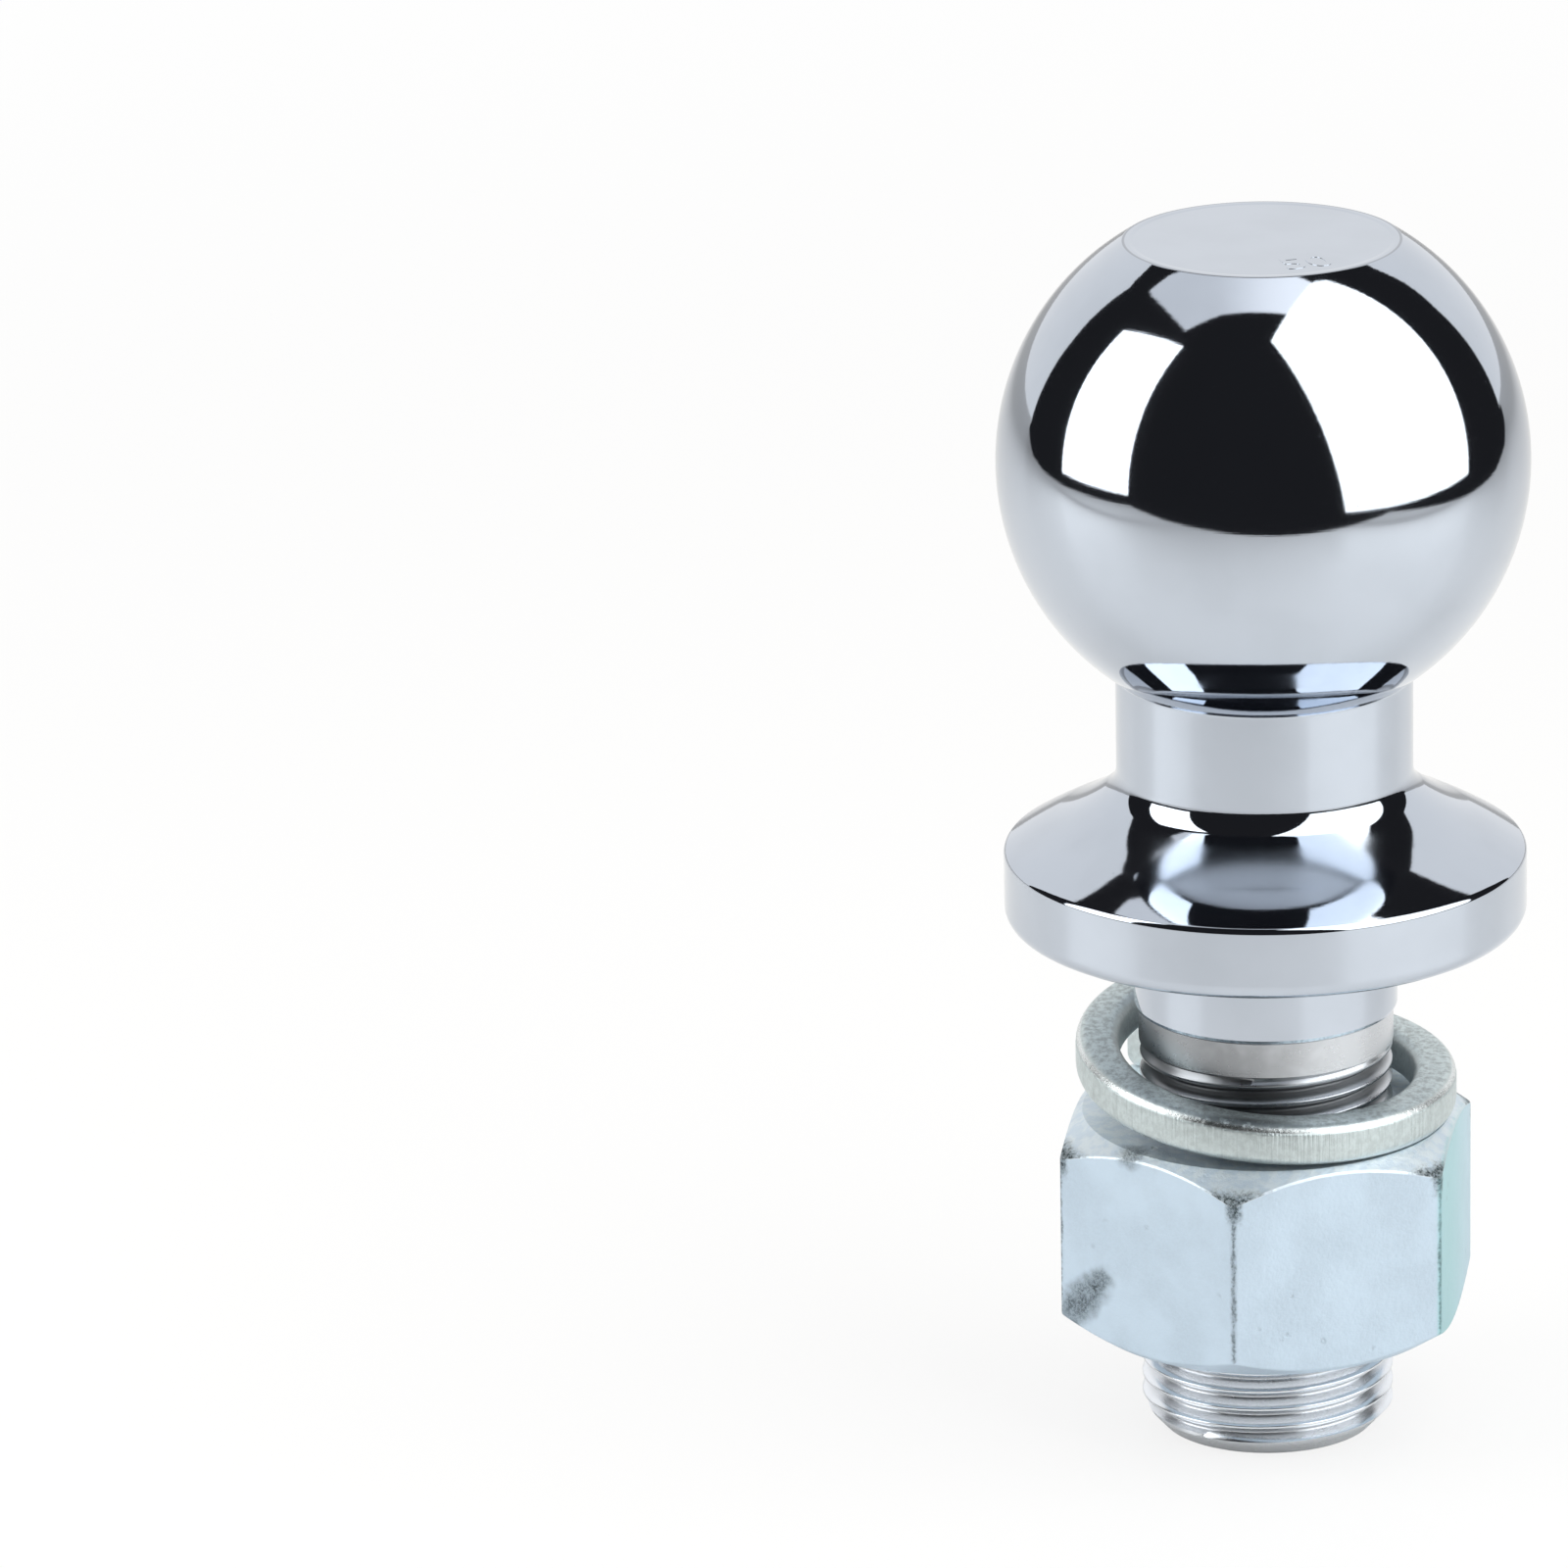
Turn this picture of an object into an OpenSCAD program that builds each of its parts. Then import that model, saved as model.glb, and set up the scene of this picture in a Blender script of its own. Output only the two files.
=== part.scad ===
// Tow ball with its spring lock washer and hexagon nut, standing on the end of its shank.
// Upright along +Z, with the origin at the middle of the shank's end face. Lengths are in millimetres.

/* [Ball and neck] */
// Diameter of the coupling ball
ball_d = 50; // [40:0.5:60]
// Diameter of the flat on top of the ball
flat_d = 26; // [10:0.5:32]
// Height of the ball's centre above the flange's underside
ball_rise = 45.1; // [38:0.1:55]
// Diameter of the neck
neck_d = 28; // [20:0.5:34]
// Radius of the fillet between the neck and the flange
neck_fillet = 3; // [0.5:0.1:4]
// Radius of the fillet between the neck and the ball
ball_fillet = 0.5; // [0.2:0.1:1.5]

/* [Flange] */
// Diameter of the flange
flange_d = 49.4; // [40:0.1:62]
// Height of the flange's side, from its underside to its upper rim
flange_side = 7; // [4:0.1:10]
// Radius of the hollow round the neck, in the flange's dished top
hollow_r = 22; // [16:0.1:32]
// Diameter at which the hollow turns into the rounded shoulder
turn_d = 40.2; // [36:0.1:46]
// Slope of the dished top at that diameter
turn_slope = 25; // [18:0.5:32]
// Radius of the rounded shoulder, from there to the rim
shoulder_r = 40; // [20:0.1:60]
// Radius of the flange's upper rim
rim_r = 0.7; // [0.3:0.1:1.5]
// Radius of the flange's lower edge
base_r = 1.6; // [0.5:0.1:2.5]

/* [Shank] */
// Diameter over the thread
thread_d = 24; // [18:0.1:30]
// Length of the threaded part, with its end chamfer
thread_l = 38.7; // [30:0.1:50]
// Length of the bare blank above the thread
blank_l = 3.5; // [1:0.1:8]
// Radial step from the thread up to the bare blank
blank_step = 0.1; // [0.05:0.05:0.4]
// Length of the plain shank under the flange
shank_l = 8.5; // [5:0.1:15]
// Radial step from the bare blank up to the plain shank
shank_step = 0.4; // [0.2:0.05:1]
// Length of the chamfer at the shank's end
end_chamfer = 2; // [1:0.1:3]
// Radial depth of the chamfer at the shank's end
end_depth = 1.8; // [1:0.1:3]

/* [Nut] */
// Width across the nut's flats
nut_af = 36.5; // [32:0.1:46]
// Height of the nut
nut_h = 20.5; // [16:0.1:26]
// Height of the nut's underside above the shank's end
nut_z = 10.9; // [4:0.1:13]
// Angle of the nut's corners about the shank
nut_angle = 21.3; // [0:0.1:60]
// Diameter of the nut's flat end faces as a share of its width across flats
nut_face = 0.96; // [0.9:0.01:0.98]
// Angle of the nut's end chamfers
nut_chamfer = 34; // [20:1:45]
// Radial play between the nut's bore and the thread
nut_play = 0.05; // [0.02:0.01:0.09]
// Radial depth of the countersinks at the nut's ends
nut_sink = 0.8; // [0.3:0.1:1.5]

/* [Spring washer] */
// Radial gap between the thread and the washer's inside
washer_gap = 2; // [1:0.1:3]
// Radial width of the washer's section
washer_w = 4.1; // [3:0.1:5]
// Thickness of the washer's section
washer_t = 4.1; // [3:0.1:5]
// Radius of the section's rounded corners
washer_r = 1.1; // [0.4:0.1:1.4]
// Height that the washer's wire climbs in one turn
washer_climb = 5.2; // [3:0.1:5.8]
// Angle of the washer's cut about the shank
washer_angle = 140; // [0:1:360]
// Width of the cut, as an angle
washer_cut = 5; // [2:0.5:12]
// Clearance under the washer where it rests on the nut
washer_seat = 0.05; // [0.02:0.01:0.2]

/* [Hidden] */
$fn = 96;
// How far the fillets bite into the neck and the ball, and the lower one into the dished top
ease = 0.002;
foot_sink = 0.03;
// Radii
ball_r = ball_d / 2;
flat_r = flat_d / 2;
neck_r = neck_d / 2;
flange_r = flange_d / 2;
thread_r = thread_d / 2;
blank_r = thread_r + blank_step;
shank_r = blank_r + shank_step;
// Heights above the shank's end
blank_z = thread_l;
shank_z = blank_z + blank_l;
base_z = shank_z + shank_l;
rim_z = base_z + flange_side;
ball_z = base_z + ball_rise;
flat_z = ball_z + sqrt(ball_r * ball_r - flat_r * flat_r);
// The dished top is a hollow and a shoulder, two arcs with the same slope where one turns into the other
turn_r = turn_d / 2;
turn_n = [sin(turn_slope), cos(turn_slope)];
shoulder_x = turn_r - shoulder_r * turn_n[0];
shoulder_c = [shoulder_x, below([shoulder_x, rim_z], shoulder_r, flange_r)];
turn = shoulder_c + shoulder_r * turn_n;
hollow_c = turn + hollow_r * turn_n;
// Centres of the rim's rounding and of the two fillets, and where the rounding meets the shoulder
rim_c = [flange_r - rim_r, above(shoulder_c, shoulder_r - rim_r, flange_r - rim_r)];
rim_t = along(shoulder_c, rim_c, shoulder_r);
foot_c = [neck_r + neck_fillet - ease, below(hollow_c, hollow_r - neck_fillet + foot_sink, neck_r + neck_fillet - ease)];
head_c = [neck_r + ball_fillet - ease, below([0, ball_z], ball_r + ball_fillet - ease, neck_r + ball_fillet - ease)];
// Nut
nut_top = nut_z + nut_h;
nut_corner_r = nut_af / sqrt(3);
nut_face_r = nut_af * nut_face / 2;
nut_bore_r = thread_r + nut_play;
nut_over = 0.5;
// Washer
washer_in = thread_r + washer_gap;
washer_out = washer_in + washer_w;
washer_steps = 100;
washer_turn = 360 - washer_cut;

// Heights of the lower and the upper side of a circle at a distance from the axis
function below(c, r, x) = c[1] - sqrt(r * r - (x - c[0]) * (x - c[0]));
function above(c, r, x) = c[1] + sqrt(r * r - (x - c[0]) * (x - c[0]));
// Point at a distance from one point towards another
function along(a, b, d) = a + (b - a) * d / norm(b - a);
// Height of the washer's underside above the nut: it climbs as it turns, and lies tilted on two opposite points
function washer_lie(a) = washer_climb * (a / 360 - (1 - cos(a)) / 4 + sin(a) / (2 * PI));
// Outline of the washer's section, with rounded corners
function washer_section() = [for (c = [[1, 1, 0], [0, 1, 90], [0, 0, 180], [1, 0, 270]], s = [0:3])
    [washer_in + washer_r + c[0] * (washer_w - 2 * washer_r) + washer_r * cos(c[2] + 30 * s),
     washer_r + c[1] * (washer_t - 2 * washer_r) + washer_r * sin(c[2] + 30 * s)]];

// Solid outline of ball, neck and flange, before the hollow and the fillets are cut and the shoulder is added
module blank_outline() {
    polygon([[0, base_z], [flange_r - base_r, base_z], [flange_r - base_r, base_z + base_r],
             [flange_r, base_z + base_r], [flange_r, rim_c[1]], rim_c, rim_t, turn, foot_c, [neck_r, foot_c[1]],
             [neck_r, head_c[1]], head_c, along(head_c, [0, ball_z], 2 * ball_fillet), [0, ball_z]]);
    intersection() {
        translate([0, ball_z]) circle(r = ball_r);
        translate([0, ball_z - ball_r - 1]) square([ball_r + 1, flat_z - ball_z + ball_r + 1]);
    }
}

module hollow_outline() {
    intersection() {
        translate(hollow_c) circle(r = hollow_r);
        polygon([foot_c, along(hollow_c, foot_c, hollow_r + 2), along(hollow_c, turn, hollow_r + 2),
                 along(hollow_c, turn, hollow_r - 3), [foot_c[0], foot_c[1] + 4]]);
    }
}

module shoulder_outline() {
    intersection() {
        translate(shoulder_c) circle(r = shoulder_r);
        polygon([along(shoulder_c, turn, shoulder_r - 3), along(shoulder_c, turn, shoulder_r + 1),
                 along(shoulder_c, rim_t, shoulder_r + 1), along(shoulder_c, rim_t, shoulder_r - 3)]);
    }
}

module body_outline() {
    difference() {
        blank_outline();
        hollow_outline();
        translate(foot_c) circle(r = neck_fillet);
        translate(head_c) circle(r = ball_fillet);
    }
    shoulder_outline();
    translate([flange_r - base_r, base_z + base_r]) circle(r = base_r);
    translate(rim_c) circle(r = rim_r);
}

module shank_outline() {
    polygon([[0, 0], [thread_r - end_depth, 0], [thread_r, end_chamfer], [thread_r, blank_z], [blank_r, blank_z],
             [blank_r, shank_z - 0.2], [shank_r - 0.1, shank_z], [shank_r, shank_z + 0.3], [shank_r, base_z + 1],
             [0, base_z + 1]]);
}

// Ball, neck, flange and shank: one forged and turned piece
module tow_ball() {
    color([0.8, 0.81, 0.84])
        rotate_extrude() {
            body_outline();
            shank_outline();
        }
}

// Lathe-turned outline that chamfers the nut's corners at both ends
module nut_barrel() {
    reach = nut_corner_r + nut_over;
    drop = (reach - nut_face_r) * tan(nut_chamfer);
    rotate_extrude()
        polygon([[0, 0], [nut_face_r, 0], [reach, drop], [reach, nut_h - drop], [nut_face_r, nut_h], [0, nut_h]]);
}

module hex_nut() {
    color([0.78, 0.86, 0.92])
        translate([0, 0, nut_z])
            rotate(nut_angle)
                difference() {
                    intersection() {
                        cylinder(r = nut_corner_r, h = nut_h, $fn = 6);
                        nut_barrel();
                    }
                    translate([0, 0, -1]) cylinder(r = nut_bore_r, h = nut_h + 2);
                    for (end = [0, nut_h])
                        translate([0, 0, end])
                            cylinder(r1 = nut_bore_r + (end == 0 ? nut_sink : -nut_sink),
                                     r2 = nut_bore_r + (end == 0 ? -nut_sink : nut_sink),
                                     h = 2 * nut_sink, center = true);
                }
}

// Split ring of rounded wire, swept round one turn of a rising and tilted path
module spring_washer() {
    outline = washer_section();
    n = len(outline);
    points = [for (i = [0:washer_steps])
        let (a = washer_turn * i / washer_steps, az = washer_angle - washer_cut / 2 - a)
        for (p = outline)
            [p[0] * cos(az), p[0] * sin(az), p[1] + washer_lie(a + washer_cut / 2)]];
    faces = concat(
        [[for (j = [0:n - 1]) n - 1 - j]],
        [for (i = [0:washer_steps - 1], j = [0:n - 1])
            [i * n + j, i * n + (j + 1) % n, (i + 1) * n + (j + 1) % n, (i + 1) * n + j]],
        [[for (j = [0:n - 1]) washer_steps * n + j]]);
    color([0.72, 0.75, 0.73])
        translate([0, 0, nut_top + washer_seat])
            polyhedron(points = points, faces = faces, convexity = 4);
}

tow_ball();
spring_washer();
hex_nut();
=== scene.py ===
"""Looks of a 50 mm tow ball with its spring washer and nut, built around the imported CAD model."""

import math
import random

import bmesh
import bpy
from bpy.props import FloatProperty, FloatVectorProperty, IntProperty, PointerProperty
from mathutils import Matrix, Vector


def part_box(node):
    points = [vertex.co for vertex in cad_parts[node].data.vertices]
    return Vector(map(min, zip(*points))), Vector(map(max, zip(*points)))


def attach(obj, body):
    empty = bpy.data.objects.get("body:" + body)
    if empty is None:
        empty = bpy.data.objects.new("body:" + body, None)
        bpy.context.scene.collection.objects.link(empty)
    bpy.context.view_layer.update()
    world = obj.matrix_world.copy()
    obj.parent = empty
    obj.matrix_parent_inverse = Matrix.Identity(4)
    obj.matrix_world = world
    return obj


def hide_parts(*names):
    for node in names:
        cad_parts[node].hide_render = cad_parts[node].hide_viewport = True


bl_info = {
    "name": "Tow ball looks",
    "version": (1, 0, 0),
    "blender": (4, 5, 0),
    "location": "View3D > Sidebar > Tow ball",
    "description": "Dresses a packed tow ball, its spring washer and its nut",
    "category": "Object",
}

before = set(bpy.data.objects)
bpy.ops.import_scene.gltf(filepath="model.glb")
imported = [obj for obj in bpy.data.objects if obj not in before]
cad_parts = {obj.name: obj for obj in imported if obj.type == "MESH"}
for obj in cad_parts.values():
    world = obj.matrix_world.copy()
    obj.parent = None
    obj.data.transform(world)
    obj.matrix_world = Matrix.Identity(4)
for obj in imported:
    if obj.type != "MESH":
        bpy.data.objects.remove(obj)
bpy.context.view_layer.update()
MM = 0.001
SIXTH = math.pi / 3

# Heights that the CAD model gives, in millimetres
BALL_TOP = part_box("tow_ball")[1][2] / MM
NUT_LOW, NUT_TOP = (corner[2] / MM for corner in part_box("hex_nut"))

# Marks of use on the nut and the washer: their middles in millimetres, and how much each way counts
RUBBED_PATCH = (-17.2, -9.4, 15.6)
RUBBED_LENGTH = (0.11, -0.14, 0.09)
RUBBED_WIDTH = (0.20, -0.25, -0.33)
SMUDGE = (-12.6, -12.2, NUT_TOP)
WORN_STRETCH = (-4.0, -17.1, 34.33)
WORN_SHARES = (0.13, 1.0, 0.3)

# The stamped size: its middle in millimetres, its turn, and how far it is sunk in the flat
STAMP_MIDDLE = (4.6, -9.4)
STAMP_TURN = 0.35
STAMP_SUNK = 0.05

# Marks on the turned piece's faces: the thread, and how many steps a stretch of its outline may have
THREAD_MARK = -1
STRETCH_STEPS = 1000

# The two soft boxes, the light ceiling and the table's edge, as corners in millimetres
RIGHT_BOX = [(35, -236, 671), (158, 84, 684), (178, 120, 688), (214, 148, 676), (250, 145, 650),
             (442, 39, 48), (235, -350, 42)]
LEFT_BOX = [(-450, 98, 508), (-259, -142, 524), (-331, -212, 71), (-522, 28, 55)]
CEILING = [(-1118, 704, 1596), (-816, 770, 1596), (456, 290, 1596), (243, -218, 1596), (-406, -186, 1596),
           (-816, -256, 1596)]
TABLE = [(-2000, 1280), (-1150, 650), (-803, 375), (-700, 190), (-668, 0), (-640, -190), (-600, -380),
         (-170, -375), (205, -340), (440, -320), (451, -135), (447, 60), (475, 215), (610, 437), (1000, 830),
         (1810, 1545)]

# Height angle above which the room is dark, by azimuth, both in degrees: all of it in front, and from the
# backdrop's top and side edges upwards behind
DARK_FROM = [(-180, 48), (-150, 48), (-140, 47.8), (-136, 46.5), (-132.4, 42.5), (-129.3, 38), (-126.6, 32.7),
             (-124.6, 27.1), (-122.8, 21.7), (-122.2, 12), (-122.1, -3), (128.5, -3), (129, 12), (129.6, 20),
             (130.4, 25.6), (132.7, 30), (135.3, 35), (137, 40), (139, 43.5), (142, 45.5), (146, 47),
             (152, 48), (180, 48)]
ROOM_REACH = 2500
ROOM_MIDDLE = 80

# A dark card behind the part on the left, bent round the axis: azimuths in degrees, and its two edges
CARD_REACH = 150
DARK_CARD = [(-103, 221, 306), (-109, 222, 300), (-114, 227, 290), (-118.5, 231, 281), (-122, 234, 285),
             (-125.5, 237, 288), (-129, 240, 292), (-132, 245, 292), (-136, 247, 290), (-140, 249, 285)]

# The camera's place in metres, and its turns in radians
CAMERA_PLACE = (0.0, -0.9876, 0.3964)
CAMERA_YAW, CAMERA_PITCH, CAMERA_ROLL = -0.0459, 0.3243, -0.0197


# Sizes and colours that a user would change

def a_length(name, description, default, low=0.0):
    return FloatProperty(name=name, description=description, default=default, min=low, max=200.0, precision=3)


def an_angle(name, description, degrees):
    return FloatProperty(name=name, description=description, subtype="ANGLE", default=math.radians(degrees))


def a_share(name, description, default):
    return FloatProperty(name=name, description=description, subtype="FACTOR", default=default,
                         min=0.0, max=1.0)


def a_strength(name, description, default):
    return FloatProperty(name=name, description=description, default=default, min=0.0)


def a_colour(name, description, default):
    return FloatVectorProperty(name=name, description=description, subtype="COLOR", size=3,
                               default=default, min=0.0, max=1.0)


class BallSizes(bpy.types.PropertyGroup):
    """Turned outline of ball, neck, flange and shank, in millimetres"""
    ball_d: a_length("Ball", "Diameter of the ball", 50.0)
    flat_d: a_length("Top flat", "Diameter of the flat on top of the ball", 26.0)
    flat_edge: a_length("Flat's edge", "Rounding between the flat and the ball", 0.3)
    flat_dip: a_length("Flat's dip", "How far the stamped flat lies below its rim", 0.045)
    stamp: a_length("Stamp", "Height of the stamped size", 5.0)
    ball_rise: a_length("Ball's rise", "Height of the ball's centre above the flange's underside", 45.1)
    neck_d: a_length("Neck", "Diameter of the neck", 28.0)
    neck_fillet: a_length("Foot fillet", "Rounding between neck and flange", 3.0)
    ball_fillet: a_length("Head fillet", "Rounding between neck and ball", 0.5)
    flange_d: a_length("Flange", "Diameter of the flange", 49.4)
    flange_side: a_length("Flange's side", "Height of the flange at its rim", 7.0)
    hollow_r: a_length("Hollow", "Radius of the hollow round the neck", 22.0)
    turn_d: a_length("Shoulder's start", "Diameter at which the hollow turns into the shoulder", 40.2)
    turn_slope: an_angle("Shoulder's slope", "Slope of the dished top at that diameter", 25)
    shoulder_r: a_length("Shoulder", "Radius of the rounded shoulder", 40.0)
    rim_r: a_length("Rim", "Rounding of the flange's upper edge", 0.7)
    base_r: a_length("Base", "Rounding of the flange's lower edge", 1.6)
    thread_d: a_length("Thread", "Diameter over the thread", 24.0)
    thread_l: a_length("Thread's length", "Length of the threaded end", 38.7)
    blank_l: a_length("Blank", "Length of the bare part above the thread", 3.5)
    blank_step: a_length("Blank's step", "How much the blank stands over the thread", 0.1)
    shank_l: a_length("Shank", "Length of the plain shank under the flange", 8.5)
    shank_step: a_length("Shank's step", "How much the shank stands over the blank", 0.4)
    end_chamfer: a_length("End chamfer", "Length of the chamfer at the shank's end", 2.0)
    end_depth: a_length("End chamfer's depth", "Depth of the chamfer at the shank's end", 1.8)
    pitch: a_length("Pitch", "Rise of the thread in one turn", 1.814, 0.2)
    thread_depth: a_length("Thread's depth", "Depth of the thread's groove", 1.1)
    columns: IntProperty(name="Columns", description="Faces round the turned piece", default=200,
                         min=48, max=216)


class NutSizes(bpy.types.PropertyGroup):
    """Hexagon nut, in millimetres"""
    across: a_length("Across flats", "Width across the nut's flats", 36.5)
    angle: an_angle("Turn", "Turn of the nut at rest", 21.3)
    face_share: a_share("Face", "Diameter of the flat ring on top as a share of the width", 0.96)
    chamfer: an_angle("Chamfer", "Slope of the chamfer", 34)
    bore_d: a_length("Bore", "Diameter of the bore", 24.1)
    sink: a_length("Countersink", "Depth of the countersink at each end of the bore", 0.8)
    corner_r: a_length("Corner", "Rounding of the six upright corners", 0.7)
    edge_r: a_length("Chamfer's edge", "Rounding where the chamfer meets the flats", 0.45)


class WasherSizes(bpy.types.PropertyGroup):
    """Split spring washer, in millimetres"""
    inner_r: a_length("Inner radius", "Radius of the hole", 14.0)
    width: a_length("Width", "Width of the section", 4.1)
    height: a_length("Height", "Height of the section", 4.1)
    corner_r: a_length("Corner", "Rounding of the section's corners", 1.1)
    climb: a_length("Climb", "Rise from one end of the cut to the other", 5.2)
    seat: a_length("Seat", "Play between washer and nut", 0.05)
    angle: an_angle("Cut", "Where the cut is", 140)
    cut: an_angle("Cut's width", "Width of the cut", 5)
    ridge: a_length("Ridges", "Height of the ridges on the outer side", 0.02)


class Finishes(bpy.types.PropertyGroup):
    """Colours of the metals"""
    chrome: a_colour("Chrome", "Colour of the chrome plate", (0.525, 0.57, 0.64))
    rim_line: a_colour("Rim's line", "Colour of the line inside the flat's rim", (0.16, 0.17, 0.20))
    steel: a_colour("Bare steel", "Colour of the turned steel", (0.56, 0.58, 0.61))
    nut: a_colour("Nut", "Colour of the nut's zinc plate", (0.585, 0.695, 0.80))
    # Painted sheen colour of the nut's right flat
    nut_sheen: a_colour("Nut's sheen", "Colour of the plate on the nut's right flat", (0.37, 0.63, 0.66))
    # Painted light colour of the nut's top and chamfers
    nut_painted_light_top: a_colour("Nut's top", "Colour of the nut's level faces", (0.82, 0.88, 0.90))
    # Colour of the wear with its painted highlight at the nut's chamfers
    nut_edge_wear_and_highlight: a_colour("Nut's edges", "Colour of the plate worn at the chamfers", (0.80, 0.86, 0.90))
    # Also the colour of the painted shade in the nut's corner notches
    grime_and_shade: a_colour("Grime", "Colour of the dirt and the bare spots on the nut", (0.05, 0.07, 0.075))
    washer: a_colour("Washer", "Colour of the washer's zinc plate", (0.535, 0.595, 0.60))
    # Painted highlight colour of the washer's rounded edges
    washer_edge_highlight: a_colour("Washer's edges", "Colour of the plate on the rounded edges", (0.84, 0.87, 0.87))


class Studio(bpy.types.PropertyGroup):
    """Floor, lamps and camera"""
    floor: a_colour("Floor", "Colour of the floor", (0.82, 0.805, 0.785))
    box: a_colour("Soft boxes' colour", "Colour of the soft boxes", (0.98, 1.0, 1.0))
    ceiling: a_colour("Ceiling's colour", "Colour of the light ceiling", (0.97, 0.98, 1.0))
    room: a_colour("Room's colour", "Colour of the dark room", (0.9, 0.9, 1.0))
    box_strength: a_strength("Soft boxes", "Strength of the right soft box", 2.5)
    left_share: a_strength("Left soft box", "Strength of the left soft box as a share of the right one", 1.25)
    ceiling_strength: a_strength("Light ceiling", "Strength of the light ceiling", 1.6)
    room_strength: a_strength("Room", "Strength of the dark room", 0.02)
    world_light: a_share("World", "Strength of the white world as a light", 0.75)
    lens: FloatProperty(name="Lens", description="Focal length", subtype="DISTANCE_CAMERA", default=253.5)


# Shader expressions

def maths(operation, *values):
    """A Math node, or a Vector Math node where one of the values is a vector"""
    wires = [value for value in values if isinstance(value, Wire)]
    if not any(wire.socket.type == "VECTOR" for wire in wires):
        return wires[0].finish.node("ShaderNodeMath", {"operation": operation}, dict(enumerate(values)))
    values = [(value,) * 3 if isinstance(value, (int, float)) else value for value in values]
    number = operation in ("DOT_PRODUCT", "DISTANCE", "LENGTH")
    return wires[0].finish.node("ShaderNodeVectorMath", {"operation": operation}, dict(enumerate(values)),
                                1 if number else 0)


class Wire:
    """An output socket that takes part in Python expressions"""

    def __init__(self, finish, socket):
        self.finish = finish
        self.socket = socket

    def __add__(self, other):
        return maths("ADD", self, other)

    def __radd__(self, other):
        return maths("ADD", other, self)

    def __sub__(self, other):
        return maths("SUBTRACT", self, other)

    def __rsub__(self, other):
        return maths("SUBTRACT", other, self)

    def __mul__(self, other):
        return maths("MULTIPLY", self, other)

    def __rmul__(self, other):
        return maths("MULTIPLY", other, self)

    def least(self, other):
        return maths("MINIMUM", self, other)

    def most(self, other):
        return maths("MAXIMUM", self, other)

    def ramp(self, low, high, to_low=0.0, to_high=1.0):
        return self.finish.node("ShaderNodeMapRange", {"interpolation_type": "SMOOTHSTEP", "clamp": True},
                                {0: self, 1: low, 2: high, 3: to_low, 4: to_high})

    def fall(self, low, high):
        return self.ramp(low, high, 1.0, 0.0)

    def parts(self):
        """The three numbers of a vector"""
        node = self.finish.node("ShaderNodeSeparateXYZ", {}, {0: self}).socket.node
        return [Wire(self.finish, output) for output in node.outputs]


class Finish:
    """A node material, or the world's nodes"""

    def __init__(self, name, owner=None):
        self.owner = owner or bpy.data.materials.new(name)
        self.owner.use_nodes = True
        self.tree = self.owner.node_tree
        self.tree.nodes.clear()

    def node(self, kind, settings=None, inputs=None, output=0):
        node = self.tree.nodes.new(kind)
        for key, value in (settings or {}).items():
            setattr(node, key, value)
        for key, value in (inputs or {}).items():
            socket = node.inputs[key]
            if isinstance(value, Wire):
                self.tree.links.new(value.socket, socket)
            elif socket.type == "RGBA" and len(value) == 3:
                socket.default_value = (*value, 1.0)
            else:
                socket.default_value = value
        return Wire(self, node.outputs[output]) if len(node.outputs) else None

    def mix(self, factor, a, b):
        return self.node("ShaderNodeMix", {"data_type": "RGBA"}, {0: factor, 6: a, 7: b}, 2)

    def place(self):
        return self.node("ShaderNodeTexCoord", output=3)

    def polar(self):
        """Place in millimetres, its distance from the axis, and its three coordinates"""
        place = self.place() * (1 / MM)
        x, y, z = place.parts()
        return place, maths("SQRT", x * x + y * y), x, y, z

    def level(self):
        """How much the outside faces up: 1 on top, 0 on upright sides, -1 underneath"""
        return self.node("ShaderNodeTexCoord", output=1).parts()[2]

    def rays(self, *kinds):
        """Whether a ray is of each of these kinds"""
        node = self.node("ShaderNodeLightPath").socket.node
        return [Wire(self, node.outputs["Is %s Ray" % kind]) for kind in kinds]

    def noise(self, vector, scale, detail=2.0, roughness=0.5):
        return self.node("ShaderNodeTexNoise", {},
                         {"Vector": vector, "Scale": scale, "Detail": detail, "Roughness": roughness})

    def vector(self, *parts):
        return self.node("ShaderNodeCombineXYZ", {}, dict(enumerate(parts)))

    def bump(self, height, distance):
        return self.node("ShaderNodeBump", {}, {"Height": height, "Distance": distance})

    def glow(self, tint, strength):
        return self.node("ShaderNodeEmission", {}, {"Color": tint, "Strength": strength})

    def metal(self, **sockets):
        inputs = {key.replace("_", " "): value for key, value in sockets.items()}
        return self.surface(self.node("ShaderNodeBsdfPrincipled", {}, inputs))

    def surface(self, shader, kind="ShaderNodeOutputMaterial"):
        self.node(kind, {}, {"Surface": shader})
        return self.owner


def shade(tint, share):
    return tuple(min(1.0, part * share) for part in tint)


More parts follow.
